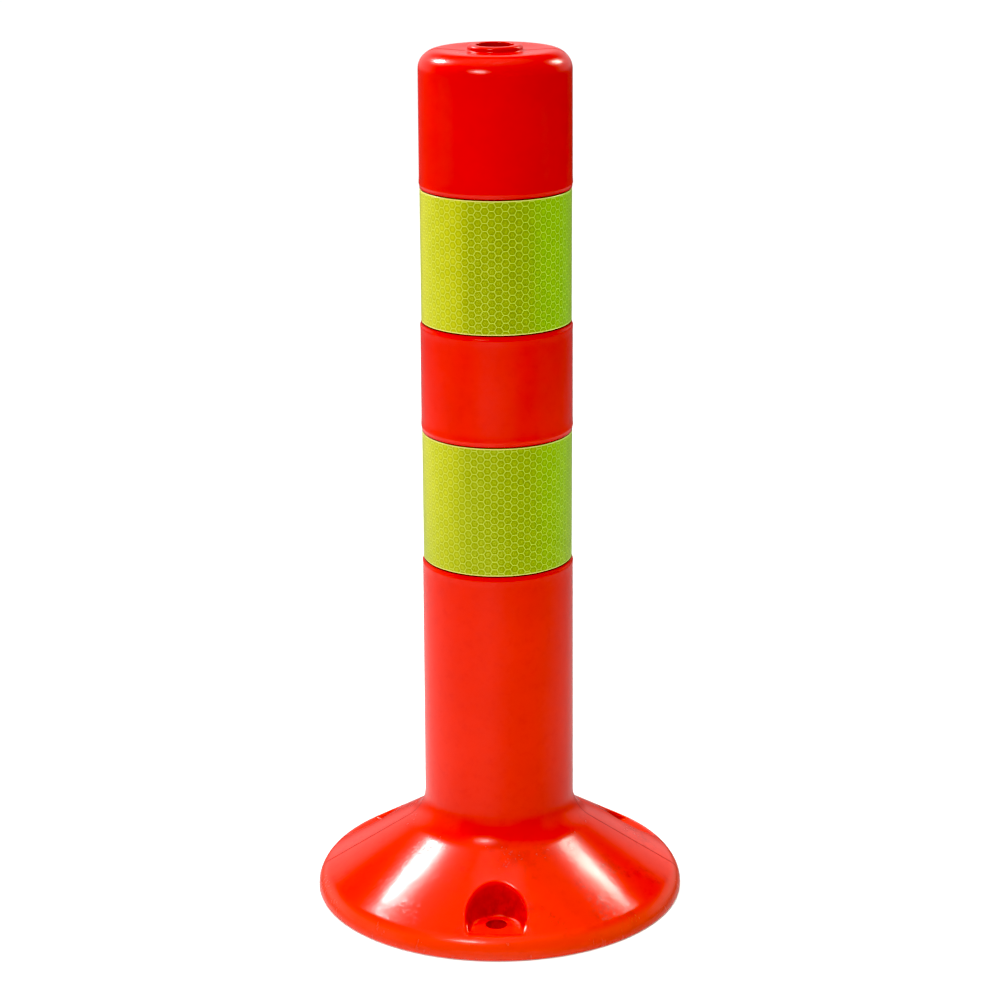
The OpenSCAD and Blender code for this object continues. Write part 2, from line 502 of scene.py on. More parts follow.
def sector_grid(turn, radii):
    """Points in a third of the height field, clear of the pocket's wall and of its hole."""
    grid = (turn[1:-1, None] * radii[None, 1:-1, None]).reshape(-1, 2)
    offset = pocket_offset(*grid.T)
    beyond = edge_offset(*grid.T) + EDGE_HALF + ROWS_MARGIN + FIELD_GAP
    off_wall = (offset < -POCKET_FOOT_ROUND - FIELD_GAP) | (offset > beyond)
    to_hole = np.hypot(grid[:, 0] - HOLE_CIRCLE_R, grid[:, 1])
    return grid[off_wall & (to_hole > HOLE_MOUTH_R + HOLE_GAP)]


def foot_sector(shell, centre):
    """A third of the height field, round the pocket at azimuth centre."""
    half = math.pi / POCKETS
    local = (AZIMUTHS - centre + half) % (2 * math.pi) - half
    local = np.sort(np.concatenate([local[np.abs(local) < half - 1e-6], [-half, half]]))
    turn = np.stack([np.cos(local), np.sin(local)], 1)
    radii = np.concatenate(
        [np.arange(FIELD_IN, FIELD_FINE, FIELD_STEP), np.linspace(FIELD_FINE, FIELD_OUT, 11)]
    )
    near_hole = circle(HOLE_CIRCLE_R, HOLE_MOUTH_R + HOLE_RING, HOLE_STEPS)
    points = np.concatenate([sector_grid(turn, radii), near_hole])
    hole = circle(HOLE_CIRCLE_R, HOLE_MOUTH_R, HOLE_STEPS)
    rows = pocket_rows()
    paths = [rows[:, i] for i in range(rows.shape[1])]
    flat, faces = triangulate(points, sector_border(turn, radii, half), [hole], paths)
    height = foot_top_z(*flat.T)
    points = turned(np.column_stack([flat, height]), centre)
    points[:, 2] += ridge(points) * ridge_rise(np.hypot(*flat.T))
    shell.add(points, faces)


def bolt_hole(shell, centre):
    """The wall of a fixing hole, with eased edges."""
    drop = [(HOLE_MOUTH_R, POCKET_FLOOR_Z)]
    drop += arc((HOLE_MOUTH_R, POCKET_FLOOR_Z - HOLE_EDGE), HOLE_EDGE, 90, 180, 4)[1:]
    drop += [(HOLE_R, POCKET_FLOOR_Z / 2)]
    drop += arc((HOLE_MOUTH_R, HOLE_EDGE), HOLE_EDGE, 180, 270, 4)
    rings = np.array([circle(HOLE_CIRCLE_R, r, HOLE_STEPS, z) for r, z in drop])
    shell.strips(turned(rings, centre))


# ---------------------------------------------------------------- the foot's underside


def ceiling_z(points):
    return cone_z(np.hypot(points[..., 0], points[..., 1])) - CEILING_DROP


def cell_outline(r_in, r_out, inset):
    """Outline of a cell between two ribs, centred on +X and drawn in by inset."""
    half = 180 / RIBS

    def corner(radius, start_to_end):
        azimuth = half - math.degrees(math.asin((RIB_T / 2 + CELL_ROUND) / radius))
        a = math.radians(azimuth)
        centre = (radius * math.cos(a), radius * math.sin(a))
        return azimuth, arc(centre, CELL_ROUND - inset, *start_to_end(azimuth), 5)

    far, outer = corner(r_out - CELL_ROUND, lambda azimuth: (azimuth, half + 90))
    near, inner = corner(r_in + CELL_ROUND, lambda azimuth: (half + 90, azimuth + 180))
    side = [tuple(p) for p in np.linspace(outer[-1], inner[0], 9)[1:-1]]
    half_line = outer + side + inner
    mirrored = [(x, -y) for x, y in half_line[::-1]]
    far_side = arc((0, 0), r_out - inset, -far, far, 16)[1:-1]
    near_side = arc((0, 0), r_in + inset, near, -near, 10)[1:-1]
    return np.array(far_side + half_line + near_side + mirrored)


def cell(shell, azimuth, r_in, r_out):
    """One hollow under the foot. Returns its outline on the ground."""
    rows = []
    for inset, z in [(-CELL_EDGE, 0), (-0.3 * CELL_EDGE, 0.3 * CELL_EDGE), (0, CELL_EDGE)]:
        outline = cell_outline(r_in, r_out, inset)
        rows.append(np.column_stack([outline, np.full(len(outline), z)]))
    for angle in np.radians((0, 30, 60, 90)):
        inset = CELL_DRAFT + CELL_TOP_ROUND * (1 - math.cos(angle))
        outline = cell_outline(r_in, r_out, inset)
        top = ceiling_z(outline) - CELL_TOP_ROUND * (1 - math.sin(angle))
        rows.append(np.column_stack([outline, top]))
    rows = np.array(rows)
    shell.strips(turned(rows, azimuth), flip=True)
    border = rows[-1][:, :2]
    grid = np.array(
        [
            (r * math.cos(a), r * math.sin(a))
            for r in np.arange(r_in, r_out, 3 * MM)
            for a in np.linspace(-0.2, 0.2, 9)
        ]
    )
    grid = grid[inside(grid, cell_outline(r_in, r_out, CELL_DRAFT + CELL_TOP_ROUND + 1 * MM))]
    flat, faces = triangulate(grid, border)
    shell.add(turned(np.column_stack([flat, ceiling_z(flat)]), azimuth), faces[:, ::-1])
    return turned(rows[0][:, :2], azimuth)


def underside(shell):
    """The ground face of the foot and the hollows between its ribs."""
    holes = []
    for i in range(RIBS):
        azimuth = 2 * math.pi / RIBS * i
        at_pocket = any(abs(math.remainder(azimuth - a, 2 * math.pi)) < 0.01 for a in POCKET_ANGLES)
        holes.append(cell(shell, azimuth, SKIRT_R, PAD_R if at_pocket else RIB_RING[0]))
        if not at_pocket:
            holes.append(cell(shell, azimuth, RIB_RING[1], CAVITY_R))
    for centre in POCKET_ANGLES:
        holes.append(turned(circle(HOLE_CIRCLE_R, HOLE_MOUTH_R, HOLE_STEPS), centre))
    way = np.stack([np.cos(AZIMUTHS), np.sin(AZIMUTHS)], 1)
    outer, inner = way * (FOOT_R - GROUND_ROUND), way * (BORE_R + CELL_EDGE)
    flat, faces = triangulate(np.zeros((0, 2)), outer, [inner] + holes)
    shell.add(np.column_stack([flat, np.zeros(len(flat))]), faces[:, ::-1])


# ---------------------------------------------------------------- the four lengths of the moulding


def foot_ridge(path):
    """The mould ridge fades out above the ground, where the rim is widest."""
    return np.clip((np.array(path)[:, 1] - RIDGE_FOOT_Z) / RIDGE_FOOT_FADE, 0, 1)


def foot_length():
    shell = Shell()
    field_angle = math.degrees(math.acos((FIELD_OUT - RIM_C[0]) / RIM_ROUND))
    rim = arc((FOOT_R - GROUND_ROUND, GROUND_ROUND), GROUND_ROUND, -90, 0, 6)
    rim += arc(RIM_C, RIM_ROUND, 0, field_angle, 14)
    shell.revolve(rim, ridged=foot_ridge(rim), upright={len(rim) - 1: ridge_rise(FIELD_OUT)})
    for centre in POCKET_ANGLES:
        foot_sector(shell, centre)
        bolt_hole(shell, centre)
    tangent = 270 - math.degrees(CONE_SLOPE)
    fillet = arc(FILLET_C, NECK_FILLET, tangent, 180, 22)
    neck = line((FIELD_IN, cone_z(FIELD_IN)), fillet[0], 1.6 * MM) + fillet
    neck += line((NECK_R, FILLET_C[1]), (NECK_R, NECK_Z), 1.2 * MM)[1:] + tube_wall(NECK_Z, seams[0])
    bore = bore_wall(CELL_EDGE, seams[0])[:-1]
    bore += arc((BORE_R + CELL_EDGE, CELL_EDGE), CELL_EDGE, 180, 270, 4)
    shell.revolve(neck, bore, foot_ridge(neck), upright={0: ridge_rise(FIELD_IN)})
    underside(shell)
    return shell.build("foot_moulding")


def neck_length(name, z0, z1):
    shell = Shell()
    shell.revolve(tube_wall(z0, z1), bore_wall(z0, z1), ridged=1, closed=True)
    return shell.build(name)


def recess(node):
    """Profile of the recess that a film band sits in, going up."""
    z0, z1 = span(node)
    face_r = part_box(node)[1].x
    floor_r = face_r - film_thickness(node)
    low, high = z0 - STEP_GAP, z1 + STEP_GAP
    low_start, high_end = low - RECESS_SHOULDER, high + RECESS_SHOULDER
    low_bead = (tube_r(low_start) + BEAD_H, low_start)
    high_bead = (tube_r(high_end) + BEAD_H, high_end)
    points = shoulder((tube_r(low_start - BEAD_RUN), low_start - BEAD_RUN), low_bead)
    points += slope(low_bead, (face_r, low - STEP_EDGE))[1:]
    points += arc((face_r - STEP_EDGE, low - STEP_EDGE), STEP_EDGE, 0, 90, 4)[1:]
    points += [(floor_r, low), (floor_r, (low + high) / 2), (floor_r, high)]
    points += arc((face_r - STEP_EDGE, high + STEP_EDGE), STEP_EDGE, -90, 0, 4)
    points += slope(high_bead, (face_r, high + STEP_EDGE))[-2::-1]
    points += shoulder(high_bead, (tube_r(high_end + BEAD_RUN), high_end + BEAD_RUN))[1:]
    return points


def top_profile():
    """From the top shoulder over the closed top and its lip, and down through the hole."""
    lip_top = TOP_Z - LIP_ROUND
    points = arc((TOP_R - SHOULDER_R, TAPER_TOP_Z), SHOULDER_R, 0, 90, 20)
    rim_r, foot_r = TOP_R - SHOULDER_R, LIP_R + LIP_FILLET
    for t in np.linspace(0, 1, 9)[1:]:
        points.append((rim_r + (foot_r - rim_r) * t, CREST_Z - smooth(t) * TOP_DIP))
    points += arc((LIP_R + LIP_FILLET, DIP_Z + LIP_FILLET), LIP_FILLET, 270, 180, 5)[1:]
    points += arc((LIP_R - LIP_ROUND, lip_top), LIP_ROUND, 0, 90, 8)
    edge_r = TOP_HOLE_R + TOP_HOLE_ROUND
    points += arc((edge_r, TOP_Z - TOP_HOLE_ROUND), TOP_HOLE_ROUND, 90, 180, 6)
    points += [(TOP_HOLE_R, (lip_top + CEILING_Z) / 2)]
    points += arc((edge_r, CEILING_Z + TOP_HOLE_ROUND), TOP_HOLE_ROUND, 180, 270, 4)
    return points


def post_ridge(path):
    """The mould ridge fades out just below the top of the lip."""
    r, z = np.array(path).T
    fade = np.clip((TOP_Z - RIDGE_TOP_GAP - z) / RIDGE_TOP_FADE, 0, 1)
    return np.where(r > LIP_R - LIP_ROUND, fade, 0)


def post_length(z0):
    shell = Shell()
    low, high = (recess(node) for node in BANDS)
    outer = tube_wall(z0, low[0][1])[:-1] + low
    outer += line(low[-1], high[0], 4 * MM)[1:] + high
    top = top_profile()
    outer += line(high[-1], top[0], 4 * MM)[1:]
    outer += top
    corner = SHOULDER_R / 2
    inner = line(top[-1], (UPPER_BORE_R - corner, CEILING_Z), 3 * MM)[1:]
    inner += arc((UPPER_BORE_R - corner, CEILING_Z - corner), corner, 90, 0, 6)
    inner += line((UPPER_BORE_R, CEILING_Z - corner), (UPPER_BORE_R, POST_Z + 1 * MM), 12 * MM)[1:]
    inner += [(UPPER_BORE_R, POST_Z + 1 * MM)] + bore_wall(z0, POST_Z)
    shell.revolve(outer, inner, post_ridge(outer), closed=True)
    return shell.build("post_moulding")


# ---------------------------------------------------------------- the film bands

FILM_EDGE = 0.1 * MM
FILM_CORNER = 4 * MM
FILM_TIPS = np.array([0, 0.3, 0.9, 1.8, 2.9]) * MM  # columns of points across the rounded corners
FILM_PLAY = 0.01 * MM  # the film keeps this far off the recess's floor and off its own lap
OVERLAP = math.radians(16)
CLIMB = math.radians(5)  # the angle over which the film climbs onto its own start


def film_angles(start, lap, end, floor_r):
    """Azimuths of the columns of points along a band, closest at its two tips."""
    tips, corner = FILM_TIPS / floor_r, FILM_CORNER / floor_r
    return np.concatenate(
        [
            start + tips,
            np.linspace(start + corner, lap - CLIMB, 230),
            np.linspace(lap - CLIMB, lap, 8)[1:],
            np.linspace(lap, end - corner, 9)[1:],
            end - tips[::-1],
        ]
    )


def film_section(inner, outer, low, high):
    """Outline of the film's section in the (r, z) plane, with its outer edges cut off."""
    section = [(inner, low), (outer - FILM_EDGE, low), (outer, low + FILM_EDGE)]
    section += [(outer, z) for z in np.linspace(low + 1 * MM, high - 1 * MM, 9)]
    return section + [(outer, high - FILM_EDGE), (outer - FILM_EDGE, high), (inner, high)]


def film_band(node):
    """A strip wrapped once round the recess, its end lapped over its start at the back."""
    z0, z1 = span(node)
    thickness = film_thickness(node)
    floor_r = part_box(node)[1].x - thickness
    start = math.pi / 2 - OVERLAP / 2
    lap = start + 2 * math.pi
    end = lap + OVERLAP
    rows = []
    for angle in film_angles(start, lap, end, floor_r):
        climb = smooth(np.clip((angle - lap + CLIMB) / CLIMB, 0, 1))
        inner = floor_r + FILM_PLAY + (thickness + FILM_PLAY) * climb
        outer = inner + thickness - 2 * FILM_PLAY
        to_end = min(angle - start, end - angle) * floor_r
        cut = FILM_CORNER - min(to_end, FILM_CORNER)
        trim = FILM_CORNER - math.sqrt(FILM_CORNER**2 - cut**2)
        section = film_section(inner, outer, z0 + trim, z1 - trim)
        rows.append([(r * math.cos(angle), r * math.sin(angle), z) for r, z in section])
    grid = np.array(rows).transpose(1, 0, 2)
    sections, columns = grid.shape[:2]
    faces = []
    for i in range(sections):
        for j in range(columns - 1):
            below, above = i * columns + j, (i + 1) % sections * columns + j
            faces.append((below, below + 1, above + 1, above))
    faces.append(tuple(i * columns for i in range(sections)))
    faces.append(tuple(i * columns + columns - 1 for i in reversed(range(sections))))
    shell = Shell()
    shell.add(grid, faces)
    return shell.build(node.replace("band", "film"))


# ---------------------------------------------------------------- materials


class Graph:
    """Short calls for the nodes of one material, with the object's own coordinates in metres."""

    def __init__(self, name):
        self.material = bpy.data.materials.new(name)
        self.material.use_nodes = True
        self.tree = self.material.node_tree
        self.tree.nodes.clear()
        self.shader = self.node("ShaderNodeBsdfPrincipled")
        output = self.node("ShaderNodeOutputMaterial")
        self.tree.links.new(self.shader.outputs[0], output.inputs["Surface"])
        coordinates = self.node("ShaderNodeTexCoord").outputs
        self.position = coordinates["Object"]
        split = self.node("ShaderNodeSeparateXYZ")
        self.feed(split.inputs[0], self.position)
        self.x, self.y, self.z = split.outputs
        normal = self.node("ShaderNodeSeparateXYZ")
        self.feed(normal.inputs[0], coordinates["Normal"])
        self.facing_up = normal.outputs[2]

    def node(self, kind, **settings):
        node = self.tree.nodes.new(kind)
        for key, value in settings.items():
            setattr(node, key, value)
        return node

    def feed(self, socket, value):
        if isinstance(value, bpy.types.NodeSocket):
            self.tree.links.new(value, socket)
        else:
            socket.default_value = value

    def math(self, operation, *values):
        node = self.node("ShaderNodeMath", operation=operation)
        for socket, value in zip(node.inputs, values):
            self.feed(socket, value)
        return node.outputs[0]

    def fold(self, operation, values):
        return functools.reduce(lambda first, second: self.math(operation, first, second), values)

    def product(self, *values):
        return self.fold("MULTIPLY", values)

    def total(self, *values):
        return self.fold("ADD", values)

    def least(self, *values):
        return self.fold("MINIMUM", values)

    def noise(self, size, detail=2.0, roughness=0.5, stretch=(1, 1, 1)):
        """Noise from 0 to 1 with features of the given size in metres, longer along stretched axes."""
        scale = self.node("ShaderNodeMapping")
        self.feed(scale.inputs["Vector"], self.position)
        scale.inputs["Scale"].default_value = [1 / (size * s) for s in stretch]
        node = self.node("ShaderNodeTexNoise")
        self.feed(node.inputs["Vector"], scale.outputs[0])
        node.inputs["Scale"].default_value = 1
        node.inputs["Detail"].default_value = detail
        node.inputs["Roughness"].default_value = roughness
        return node.outputs["Fac"]

    def remap(self, value, low, high, to_low=0.0, to_high=1.0):
        node = self.node("ShaderNodeMapRange", interpolation_type="SMOOTHSTEP")
        for key, item in zip(("Value", "From Min", "From Max", "To Min", "To Max"),
                             (value, low, high, to_low, to_high)):
            self.feed(node.inputs[key], item)
        return node.outputs[0]

    def blend(self, factor, first, second):
        node = self.node("ShaderNodeMix", data_type="RGBA")
        self.feed(node.inputs["Factor"], factor)
        colours = [s for s in node.inputs if s.type == "RGBA"]
        for socket, value in zip(colours, (first, second)):
            self.feed(socket, value if isinstance(value, bpy.types.NodeSocket) else (*value, 1))
        return next(s for s in node.outputs if s.type == "RGBA")

    def bump(self, height, distance, strength=1.0, normal=None):
        """A bump whose height runs from 0 to 1 over the given distance in metres."""
        node = self.node("ShaderNodeBump")
        self.feed(node.inputs["Height"], height)
        node.inputs["Distance"].default_value = distance
        node.inputs["Strength"].default_value = strength
        if normal:
            self.feed(node.inputs["Normal"], normal)
        return node.outputs[0]

    def set(self, **values):
        """Sets the shader's sockets, with _ standing for a space in a socket's name."""
        for key, value in values.items():
            self.feed(self.shader.inputs[key.replace("_", " ")], value)


# Linear colours of the moulding. A pair holds the tones at the ground and at the top. The ground
# tone is lighter and more orange, a painted bounce light from the floor, and the top tone darker
# and redder, a painted shade.
FRESH = (0.72, 0.0210, 0.0034), (0.67, 0.0100, 0.0026)
FADED = (0.77, 0.0235, 0.0042), (0.72, 0.0120, 0.0032)
MOTTLED = (0.62, 0.008, 0.002)
SMUDGED = (0.52, 0.012, 0.004)
SCUFFED = (0.34, 0.018, 0.010)
RUBBED_RIM = (0.70, 0.062, 0.028)
WORN_RIM = (0.42, 0.03, 0.02)
# Painted shade, with some dirt, on the steep walls of the fixing pockets.
POCKET_SHADE_AND_DIRT = (0.34, 0.003, 0.002)
# Painted shade and some grime along the mould ridge, strongest on the foot.
PARTING_SHADE_AND_GRIME = (0.18, 0.006, 0.003)
RECESS_SHADE = (0.45, 0.004, 0.002)
GAP_SHADE = (0.04, 0.002, 0.001)


def pocket_mask(g):
    """1 in the fixing pockets, which lie below the line of the cone."""
    radius = g.math("SQRT", g.total(g.product(g.x, g.x), g.product(g.y, g.y)))
    cone = g.math("MULTIPLY_ADD", radius, -math.tan(CONE_SLOPE), cone_z(0))
    depth = g.math("SUBTRACT", cone, g.z)
    return g.product(
        g.remap(depth, 0.4 * MM, 2 * MM),
        g.remap(radius, RIM_END[0] + 0.5 * MM, RIM_END[0] - 1 * MM),
        g.remap(g.z, POCKET_FLOOR_Z - 2 * MM, POCKET_FLOOR_Z - 1 * MM),
    )


def moulding_masks(g):
    """Where the moulding is marked or dirty, and where shade is painted on it, each from 0 to 1."""
    mottle = g.noise(5 * MM, 4, 0.65)
    on_foot = g.remap(g.z, 46 * MM, 38 * MM)

    # Scuffs are dense on the cone and nearly absent on the tube.
    scuff_field = g.noise(22 * MM, 3, 0.6)
    scratch = g.noise(2 * MM, 3, 0.55, stretch=(1, 1, 4))
    scuffed = g.product(g.remap(scuff_field, 0.48, 0.64), g.remap(scratch, 0.48, 0.7))
    smudged = g.product(g.remap(scuff_field, 0.46, 0.62), g.remap(mottle, 0.42, 0.62))

    low_rim = g.remap(g.z, 7 * MM, 0.5 * MM)
    near_parting = g.remap(g.math("ABSOLUTE", g.y), 0.48 * MM, 0.22 * MM)
    in_pocket = pocket_mask(g)
    steep = g.remap(g.facing_up, 0.85, 0.45)
    edges = [edge for node in BANDS for edge in span(node)]
    off_band_edge = g.least(*(g.math("ABSOLUTE", g.math("SUBTRACT", g.z, edge)) for edge in edges))
    return SimpleNamespace(
        mottle=mottle,
        on_foot=on_foot,
        scuffed=g.product(scuffed, g.math("MULTIPLY_ADD", on_foot, 0.99, 0.01)),
        smudged=g.product(on_foot, smudged),
        on_rim=g.remap(g.z, 12.5 * MM, 8 * MM),
        rim_wear=g.product(low_rim, g.remap(g.noise(2.2 * MM, 3, 0.7), 0.5, 0.72)),
        in_pocket=in_pocket,
        # painted shade, with some dirt, on the pockets' steep walls
        pocket_shade_and_dirt=g.product(steep, in_pocket, g.remap(mottle, 0.2, 0.7, 0.25, 0.6)),
        # painted shade and some grime along the mould ridge
        parting_shade_and_grime=g.product(near_parting, g.remap(g.z, 48 * MM, 56 * MM, 0.85, 0.35)),
        recess=g.remap(off_band_edge, 2.6 * MM, 0.5 * MM),
        gap=g.remap(off_band_edge, 0.75 * MM, 0.45 * MM),
    )


def moulding_colour(g, masks):
    # The colour turns darker and redder upwards: painted floor bounce low down, painted shade higher
    # up.
    higher = g.remap(g.z, 0, 450 * MM)
    cloud = g.remap(g.noise(45 * MM, 3), 0.3, 0.7)
    colour = g.blend(cloud, g.blend(higher, *FRESH), g.blend(higher, *FADED))
    for share, tone in (
        (g.remap(masks.mottle, 0.45, 0.75, 0, 0.22), MOTTLED),
        (g.product(masks.smudged, 0.4), SMUDGED),
        (g.product(masks.scuffed, 0.45), SCUFFED),
        (g.product(masks.on_rim, 0.6), RUBBED_RIM),
        (g.product(masks.rim_wear, 0.25), WORN_RIM),
        (masks.pocket_shade_and_dirt, POCKET_SHADE_AND_DIRT),
        (masks.parting_shade_and_grime, PARTING_SHADE_AND_GRIME),
        (g.product(masks.recess, 0.4), RECESS_SHADE),
        (masks.gap, GAP_SHADE),
    ):
        colour = g.blend(share, colour, tone)
    return colour


def moulding_roughness(g, masks):
    return g.total(
        g.remap(g.z, 12 * MM, 50 * MM, 0.13, 0.24),  # feet and tyres polish the foot
        g.remap(masks.mottle, 0.3, 0.75, 0, 0.015),
        g.product(masks.scuffed, 0.12),
        g.product(masks.on_rim, 0.1),
        g.product(masks.rim_wear, 0.05),
        g.product(masks.in_pocket, 0.25),
        g.product(masks.gap, 0.5),
    )


def moulding_relief(g, masks):
    """Soft waves all over, finer ripples on the foot, a fine grain, and shallow scuffs."""
    ripple = g.product(g.noise(2.4 * MM, 2, 0.5), masks.on_foot)
    relief = g.bump(g.noise(11 * MM, 2, 0.45), 0.06 * MM)
    relief = g.bump(ripple, 0.012 * MM, normal=relief)
    relief = g.bump(g.noise(0.6 * MM, 1), 0.005 * MM, normal=relief)
    return g.bump(g.math("SUBTRACT", 1, masks.scuffed), 0.01 * MM, normal=relief)


def moulding_material():
    """Glossy orange-red polyurethane, scuffed and a little dirty, with some shade painted on."""
    g = Graph("moulded_polyurethane")
    masks = moulding_masks(g)
    g.set(
        Base_Color=moulding_colour(g, masks),
        Roughness=moulding_roughness(g, masks),
        Normal=moulding_relief(g, masks),
        IOR=1.48,
        Specular_IOR_Level=g.math("MULTIPLY_ADD", masks.gap, -0.45, 0.5),
    )
    return g.material


HEX_COLUMN = 3.5 * MM
HEX_ROW = 4.1 * MM
FILM_CELL = (0.44, 0.51, 0.034), (0.48, 0.55, 0.040)
FILM_RING = (0.20, 0.24, 0.02)
FILM_FLECK = (0.48, 0.60, 0.05)
FILM_SEAL = (0.50, 0.59, 0.07)
# A painted highlight: a pale line along the film's cut edges.
FILM_EDGE_HIGHLIGHT = (0.80, 0.68, 0.20)


def honeycomb_depth(g, radius):
    """Distance from the lines of a honeycomb on the film, growing towards each cell's middle."""
    apothem = HEX_ROW / 2
    around = g.math("MULTIPLY", g.math("ARCTAN2", g.y, g.x), radius)
    u = g.math("PINGPONG", around, HEX_COLUMN)
    v = g.math("PINGPONG", g.z, apothem)

    def from_middle(across, up):
        slanted = g.math("MULTIPLY_ADD", across, math.sqrt(0.75), g.math("MULTIPLY", up, 0.5))
        return g.math("MAXIMUM", up, slanted)

    other = from_middle(g.math("SUBTRACT", HEX_COLUMN, u), g.math("SUBTRACT", apothem, v))
    return g.math("SUBTRACT", apothem, g.least(from_middle(u, v), other))


def film_material(name, radius, z0, z1):
    """Fluorescent yellow-green prismatic film with sealed honeycomb lines under a clear face."""
    g = Graph(name)
    depth = honeycomb_depth(g, radius)
    seal = g.remap(depth, 0.3 * MM, 0.08 * MM)
    ring = g.product(g.remap(depth, 0.2 * MM, 0.5 * MM), g.remap(depth, 1.3 * MM, 0.7 * MM))
    to_edge = g.least(g.math("SUBTRACT", g.z, z0), g.math("SUBTRACT", z1, g.z))
    # A pale line is painted along the film's cut edges, a painted highlight; the metallic layer stops
    # there.
    cut = g.remap(to_edge, 0.7 * MM, 0.45 * MM)
    open_cell = g.math("SUBTRACT", 1, g.math("MAXIMUM", seal, cut))

    colour = g.blend(g.remap(g.noise(6 * MM, 2), 0.35, 0.65), *FILM_CELL)
    colour = g.blend(g.product(ring, 0.4), colour, FILM_RING)
    colour = g.blend(g.remap(g.noise(0.5 * MM, 2, 0.6), 0.4, 0.7, 0, 0.25), colour, FILM_FLECK)
    colour = g.blend(seal, colour, FILM_SEAL)
    colour = g.blend(g.product(cut, 0.8), colour, FILM_EDGE_HIGHLIGHT)

    relief = g.bump(g.noise(0.3 * MM, 1), 0.006 * MM)
    relief = g.bump(seal, 0.012 * MM, normal=relief)
    g.set(
        Base_Color=colour,
        Metallic=g.product(open_cell, 0.5),
        Roughness=0.36,
        Normal=relief,
        IOR=1.35,
        Coat_Weight=0.1,
        Coat_Roughness=0.12,
        Sheen_Weight=0.08,
        Sheen_Roughness=0.45,
        Sheen_Tint=(0.7, 1, 0.1, 1),
    )
    return g.material


# ---------------------------------------------------------------- assembly

moulding = moulding_material()
foot = foot_length()
neck_low = neck_length("neck_moulding_low", seams[0], seams[1])
neck_high = neck_length("neck_moulding_high", seams[1], seams[2])
post = post_length(seams[2])

lengths = [
    (foot, "foot", "neck_1", ["foot", "neck_flex_1", "neck_firm_1"]),
    (neck_low, "neck_1", "neck_2", ["neck_flex_2", "neck_firm_2"]),
    (neck_high, "neck_2", "neck_3", ["neck_flex_3", "neck_firm_3"]),
    (post, "neck_3", "post", ["neck_flex_4", "post_shell"]),
]
for (piece, below, above, nodes), (flex_low, flex_high) in zip(lengths, flex_spans):
    piece.data.materials.append(moulding)
    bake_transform(piece)
    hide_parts(*nodes)

films = []
for node in BANDS:
    film = film_band(node)
    films.append(film)
    low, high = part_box(node)
    film.data.materials.append(film_material(node.replace("band", "film"), high.x, low.z, high.z))
    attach(film, "post")
    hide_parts(node)

# ---------------------------------------------------------------- floor, lights and camera

FLOOR_R = 8.0
FLOOR_GLOW = 0.13

bpy.ops.mesh.primitive_circle_add(vertices=128, radius=FLOOR_R, fill_type="NGON")
floor = bpy.context.object
floor.name = "studio_floor"
floor_paint = Graph("studio_floor")
floor_tone = floor_paint.noise(0.8, 2)
floor_colour = floor_paint.blend(floor_tone, (0.86, 0.86, 0.86), (0.88, 0.88, 0.88))
floor_paint.set(
    Base_Color=floor_colour, Roughness=0.8, Specular_IOR_Level=0.2,
    Emission_Color=(1, 1, 1, 1), Emission_Strength=FLOOR_GLOW,
)
floor.data.materials.append(floor_paint.material)
floor.visible_glossy = False  # gloss reflects the studio's surroundings instead

AIM = Vector((0, 0, 0.2))


def place_light(lamp, location, glossy=True, diffuse=True, only=None):
    """Aims a lamp at the post. It lights every object, or only those of one collection."""
    holder = bpy.data.objects.new(lamp.name, lamp)
    holder.location = location
    holder.rotation_euler = (AIM - holder.location).to_track_quat("-Z", "Y").to_euler()
    holder.visible_glossy = glossy
    holder.visible_diffuse = diffuse
    holder.visible_camera = False
    if only:
        holder.light_linking.receiver_collection = only
    bpy.context.scene.collection.objects.link(holder)


def softbox(name, azimuth, height, reach, size, radiance, colour=(1, 1, 1), **seen):
    """A soft light aimed at the post. Azimuth 0 is in front of it, and it grows to the right.
    Reach is the distance from the post's axis."""
    lamp = bpy.data.lights.new(name, "AREA")
    lamp.shape = "RECTANGLE"
    lamp.size, lamp.size_y = size
    lamp.energy = radiance * size[0] * size[1] * math.pi
    lamp.color = colour
    a = math.radians(azimuth)
    place_light(lamp, Vector((reach * math.sin(a), -reach * math.cos(a), height)), **seen)


# Each softbox has a name, azimuth, height, reach, size, radiance and colour.
softbox("left_rear_light", -124, 1.25, 1.0, (0.12, 0.26), 130)
softbox("right_rear_light", 126, 0.85, 0.743, (0.08, 0.2), 44, (0.85, 1, 0.88))
softbox("front_glint", -24, 0.8, 0.6, (0.16, 0.05), 60, diffuse=False)
softbox("front_light", -24, 2.35, 3.2, (0.7, 0.2), 82, (1, 0.93, 0.82), glossy=False)
softbox("front_fill", 0, 0.08, 0.8, (0.9, 0.12), 2.4, glossy=False)
softbox("left_fill", -78, 0.4, 1.7, (1, 0.8), 1.7, (1, 0.94, 0.84), glossy=False)
softbox("right_fill", 78, 0.45, 1.5, (0.8, 0.8), 2.0, (0.03, 1, 0.12), glossy=False)

# Prismatic film throws back far more of a light at its side than the moulding does.
film_only = bpy.data.collections.new("film_only")
for film in films:
    film_only.objects.link(film)
softbox("film_left", -100, 0.31, 0.4, (0.98, 0.56), 1.1, (1, 0.68, 0.15), diffuse=False, only=film_only)
softbox("film_right", 100, 0.31, 0.4, (0.7, 0.56), 0.35, (0.05, 1, 0.1), diffuse=False, only=film_only)

overhead = bpy.data.lights.new("overhead_light", "SUN")
overhead.energy = 2.3
overhead.angle = math.radians(20)
place_light(overhead, Vector((0, 0.001, 4)), glossy=False)

ROOM_GLOW, GROUND_GLOW, WALL_GLOW, CEILING_GLOW = 0.12, 0.75, 0.5, 0.55


